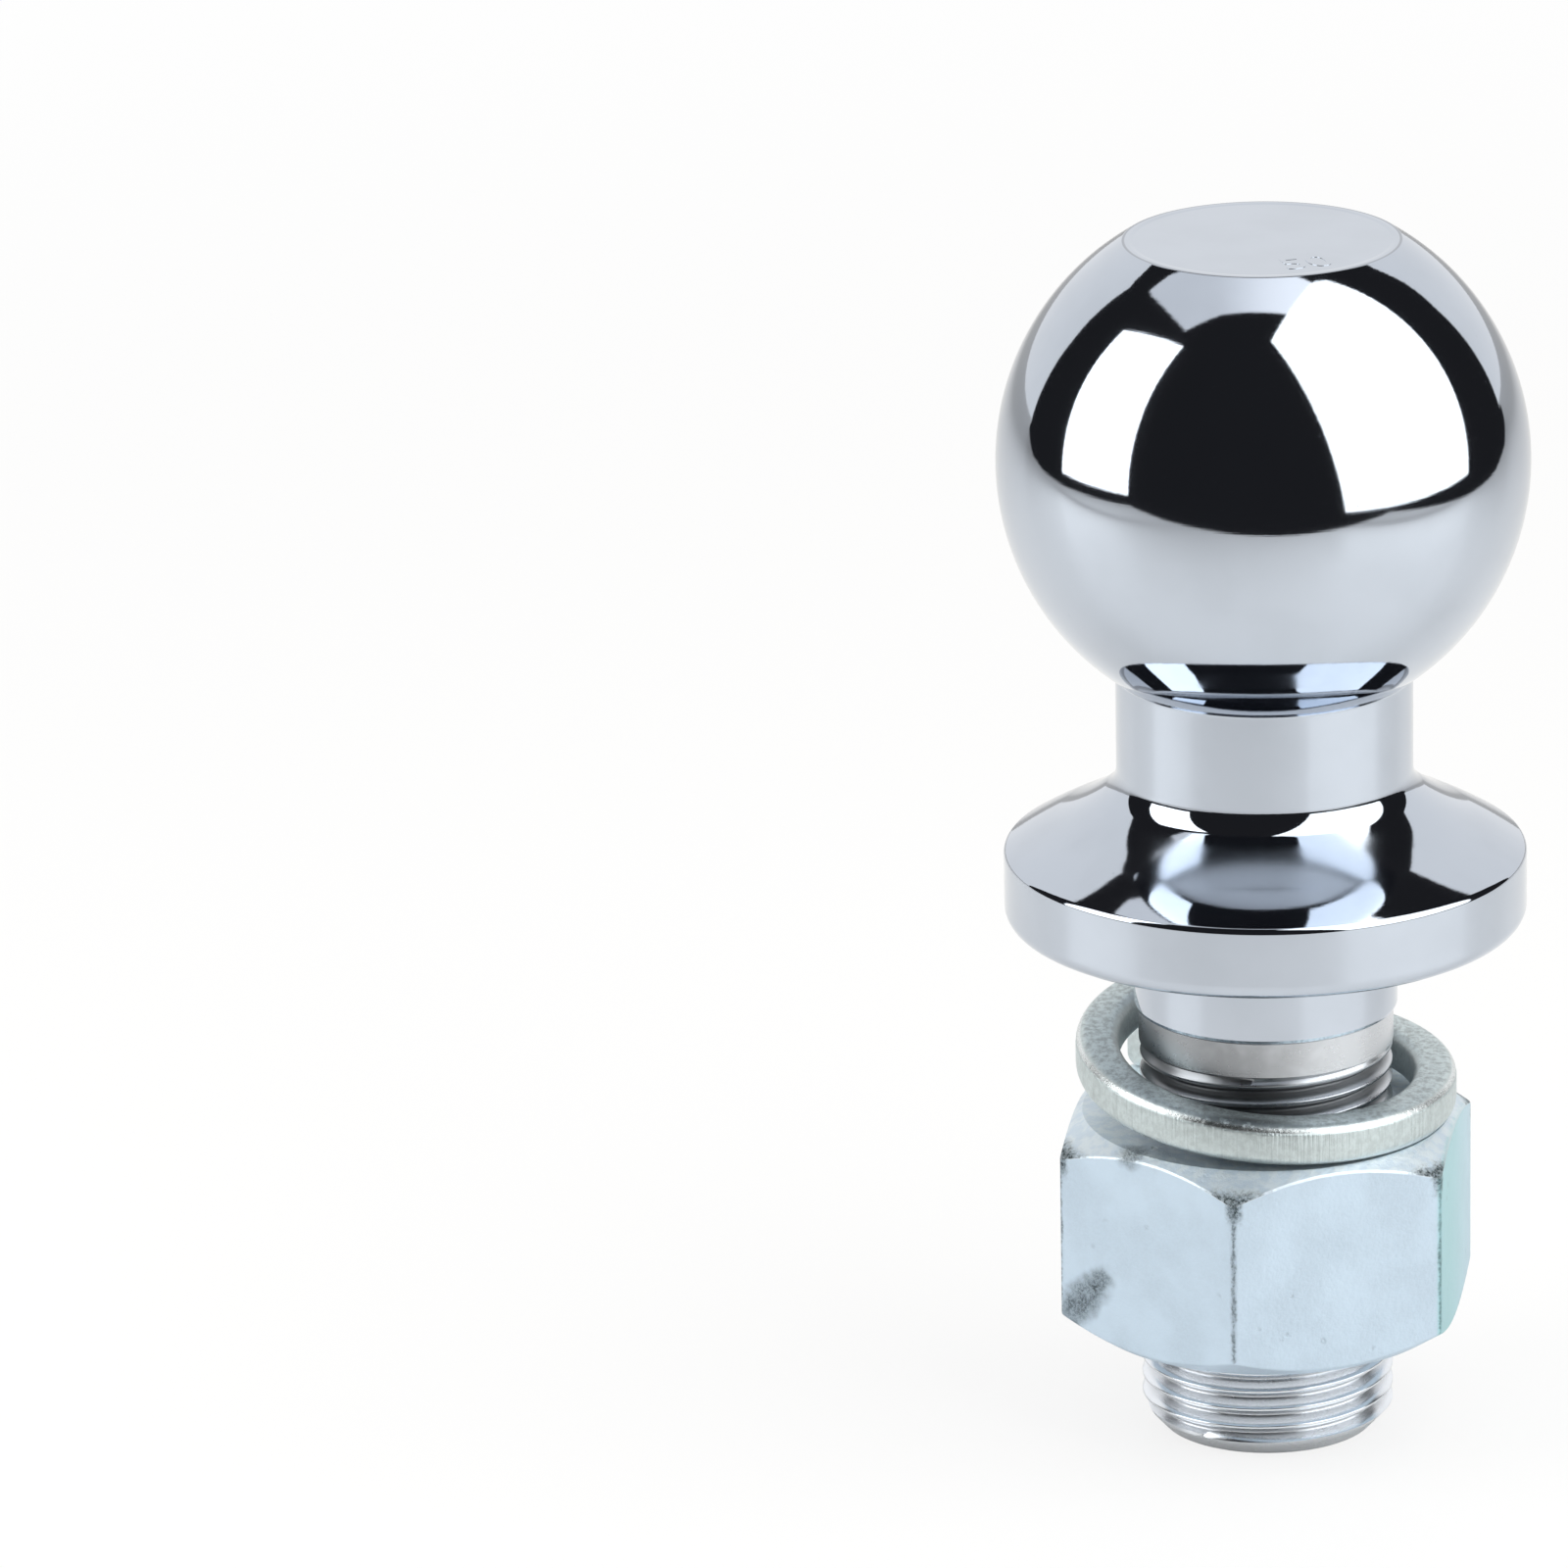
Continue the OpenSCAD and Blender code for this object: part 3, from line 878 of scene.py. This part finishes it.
def room_dome():
    """Dark wall and ceiling round the stage, open behind the part where the backdrop stands"""
    step, levels = 5, 16
    columns = []
    for (left, low), (right, high) in zip(DARK_FROM, DARK_FROM[1:]):
        steps = max(1, math.ceil((right - left) / step))
        for i in range(steps):
            columns.append((left + (right - left) * i / steps, low + (high - low) * i / steps))
    corners, faces = [], []
    for azimuth, low in columns:
        for k in range(levels + 1):
            level = math.radians(low + (90 - low) * k / levels)
            corners.append((*around(azimuth, math.cos(level) * ROOM_REACH),
                            ROOM_MIDDLE + math.sin(level) * ROOM_REACH))
    for i in range(len(columns)):
        n = (i + 1) % len(columns)
        for k in range(levels):
            a, b = i * (levels + 1) + k, n * (levels + 1) + k
            faces.append((a, a + 1, b + 1, b))
    return sheet("room_dome", corners, faces)


def dark_card():
    """The card that keeps the light ceiling off the flange's left side"""
    corners = [(*around(azimuth, CARD_REACH), z) for azimuth, *edges in DARK_CARD for z in edges]
    faces = [(2 * i, 2 * i + 2, 2 * i + 3, 2 * i + 1) for i in range(len(DARK_CARD) - 1)]
    return sheet("dark_card", corners, faces)


def light_up(piece, power, tint, hidden=("camera",), fading=False):
    """Makes a stage piece glow, evenly or fading to its left, and hides it from some kinds of rays"""
    f = Finish(piece.name)
    if fading:
        tint = f.mix(f.place().parts()[0].ramp(-0.5, 0.35), shade(tint, 0.6), tint)
    piece.data.materials.append(f.surface(f.glow(tint, power)))
    for ray in hidden:
        setattr(piece, "visible_" + ray, False)


def light_panel(name, corners, power, tint, fading=False):
    light_up(sheet(name, corners, [tuple(range(len(corners)))]), power, tint, fading=fading)


def pale_floor(studio):
    """Floor that keeps shadows near the part, and is plain white to the camera farther away"""
    reach = 12000
    floor = sheet("floor", [(-reach, -reach, 0), (reach, -reach, 0), (reach, reach, 0), (-reach, reach, 0)],
                  [(0, 1, 2, 3)])
    f = Finish("pale floor")
    distance = maths("LENGTH", f.place())
    tint = f.mix(distance.ramp(0.45, 1.0), studio.floor, shade(studio.floor, 0.64))
    lit = f.node("ShaderNodeBsdfPrincipled", {}, {"Base Color": tint, "Roughness": 0.45,
                                                  "Specular IOR Level": 0.32})
    seen = f.rays("Camera")[0] * distance.ramp(0.12, 0.7, 0.78, 1.0)
    shader = f.node("ShaderNodeMixShader", {}, {0: seen, 1: lit, 2: f.glow((1, 1, 1), 1.0)})
    floor.data.materials.append(f.surface(shader))


def white_world(scene, studio):
    """White to the camera and in reflections, and a softer light"""
    scene.world = bpy.data.worlds.new("studio")
    w = Finish("studio", scene.world)
    camera, glossy, through = w.rays("Camera", "Glossy", "Transmission")
    power = studio.world_light + camera.most(glossy).most(through) * (1 - studio.world_light)
    back = w.node("ShaderNodeBackground", {}, {"Color": (1, 1, 1), "Strength": power})
    w.surface(back, "ShaderNodeOutputWorld")


def fitted_camera(scene, studio):
    camera = add_to_scene("camera", bpy.data.cameras.new("camera"))
    camera.data.sensor_width = 36.0
    camera.data.lens = studio.lens
    camera.data.clip_start, camera.data.clip_end = 0.05, 50.0
    level = math.cos(CAMERA_PITCH)
    ahead = Vector((math.sin(CAMERA_YAW) * level, math.cos(CAMERA_YAW) * level, -math.sin(CAMERA_PITCH)))
    right = ahead.cross(Vector((0, 0, 1))).normalized()
    up = right.cross(ahead)
    x = math.cos(CAMERA_ROLL) * right + math.sin(CAMERA_ROLL) * up
    y = -math.sin(CAMERA_ROLL) * right + math.cos(CAMERA_ROLL) * up
    turn = Matrix((x, y, -ahead)).transposed()
    camera.matrix_world = Matrix.Translation(CAMERA_PLACE) @ turn.to_4x4()
    scene.camera = camera


# Operators

class TOWBALL_OT_turned_piece(bpy.types.Operator):
    """Make ball, neck, flange, shank and thread"""
    bl_idname = "towball.turned_piece"
    bl_label = "Turned piece"

    def execute(self, context):
        colours = context.scene.towball_finishes
        sizes = context.scene.towball_ball
        chrome = chrome_finish(colours, sizes)
        piece = ball_piece(sizes, chrome, steel_finish(colours, sizes))
        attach(piece, "tow_ball")
        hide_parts("tow_ball")
        stamp = size_stamp(sizes, chrome)
        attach(stamp, "tow_ball")
        return {"FINISHED"}


class TOWBALL_OT_washer(bpy.types.Operator):
    """Make the split spring washer"""
    bl_idname = "towball.washer"
    bl_label = "Spring washer"

    def execute(self, context):
        sizes = context.scene.towball_washer
        piece = washer_piece(sizes, washer_finish(context.scene.towball_finishes, sizes))
        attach(piece, "washer")
        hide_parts("spring_washer")
        return {"FINISHED"}


class TOWBALL_OT_nut(bpy.types.Operator):
    """Make the hexagon nut"""
    bl_idname = "towball.nut"
    bl_label = "Hexagon nut"

    def execute(self, context):
        sizes = context.scene.towball_nut
        piece = nut_piece(sizes, nut_finish(context.scene.towball_finishes, sizes))
        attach(piece, "nut")
        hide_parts("hex_nut")
        return {"FINISHED"}


class TOWBALL_OT_stage(bpy.types.Operator):
    """Make the floor, the room, the lamps, the world and the camera"""
    bl_idname = "towball.stage"
    bl_label = "Stage"

    def execute(self, context):
        scene = context.scene
        studio = scene.towball_studio
        scene.view_settings.view_transform = "Standard"
        pale_floor(studio)
        light_panel("soft_box_right", RIGHT_BOX, studio.box_strength, studio.box)
        light_panel("soft_box_left", LEFT_BOX, studio.box_strength * studio.left_share, studio.box)
        light_panel("light_ceiling", CEILING, studio.ceiling_strength, studio.ceiling, fading=True)
        hidden = ("camera", "diffuse", "shadow", "transmission")
        for piece in (room_floor(), room_dome(), dark_card()):
            light_up(piece, studio.room_strength, studio.room, hidden)
        white_world(scene, studio)
        fitted_camera(scene, studio)
        return {"FINISHED"}


class TOWBALL_PT_panel(bpy.types.Panel):
    """Sizes, finishes and stage of the tow ball"""
    bl_idname = "TOWBALL_PT_panel"
    bl_label = "Tow ball"
    bl_space_type = "VIEW_3D"
    bl_region_type = "UI"
    bl_category = "Tow ball"

    def draw(self, context):
        for group in GROUPS:
            box = self.layout.box()
            settings = getattr(context.scene, group)
            for key in settings.bl_rna.properties.keys():
                if key not in ("rna_type", "name"):
                    box.prop(settings, key)
        for operator in OPERATORS:
            self.layout.operator(operator.bl_idname)


GROUPS = {
    "towball_ball": BallSizes,
    "towball_nut": NutSizes,
    "towball_washer": WasherSizes,
    "towball_finishes": Finishes,
    "towball_studio": Studio,
}
OPERATORS = (TOWBALL_OT_turned_piece, TOWBALL_OT_washer, TOWBALL_OT_nut, TOWBALL_OT_stage)
CLASSES = (*GROUPS.values(), *OPERATORS, TOWBALL_PT_panel)


def register():
    for cls in CLASSES:
        bpy.utils.register_class(cls)
    for name, cls in GROUPS.items():
        setattr(bpy.types.Scene, name, PointerProperty(type=cls))


def unregister():
    for name in GROUPS:
        delattr(bpy.types.Scene, name)
    for cls in reversed(CLASSES):
        bpy.utils.unregister_class(cls)


def main():
    register()
    bpy.ops.towball.turned_piece()
    bpy.ops.towball.washer()
    bpy.ops.towball.nut()
    bpy.ops.towball.stage()
    bpy.context.view_layer.update()


if __name__ == "__main__":
    main()
